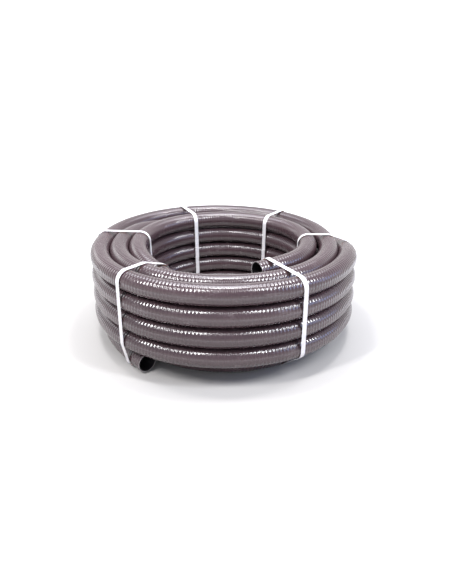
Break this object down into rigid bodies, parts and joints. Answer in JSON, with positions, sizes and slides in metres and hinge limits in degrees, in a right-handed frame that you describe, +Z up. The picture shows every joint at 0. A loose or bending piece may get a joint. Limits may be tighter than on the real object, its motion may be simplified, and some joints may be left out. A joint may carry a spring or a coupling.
{
  "type": "coiled waste hose",
  "caption": "Long spiral-reinforced PVC waste hose, open at both cut ends, wound into a round multi-column coil and held by radial strapping bands.",
  "frame": {"origin": "centre of the coil's box on the ground that the bands' undersides rest on", "axes": "+Z up along the coil's axis; -Y towards the side where the lower end comes out; the upper end is just right of -Y"},
  "size_m": [0.7421, 0.7397, 0.2596],
  "materials": {
    "hose_pvc": "gloss",
    "strap_polypropylene": "satin"
  },
  "bodies": {
    "root": {"hose_upper_end": "hose_pvc", "hose_turn_01": "hose_pvc", "hose_turn_02": "hose_pvc", "hose_turn_03": "hose_pvc", "hose_turn_04": "hose_pvc", "hose_turn_05": "hose_pvc", "hose_turn_06": "hose_pvc", "hose_turn_07": "hose_pvc", "hose_turn_08": "hose_pvc", "hose_turn_09": "hose_pvc", "hose_turn_10": "hose_pvc", "hose_turn_11": "hose_pvc", "hose_turn_12": "hose_pvc", "hose_turn_13": "hose_pvc", "hose_turn_14": "hose_pvc", "hose_lower_end": "hose_pvc", "strap_1": "strap_polypropylene", "strap_2": "strap_polypropylene", "strap_3": "strap_polypropylene", "strap_4": "strap_polypropylene", "strap_5": "strap_polypropylene", "strap_6": "strap_polypropylene"}
  },
  "joints": []
}
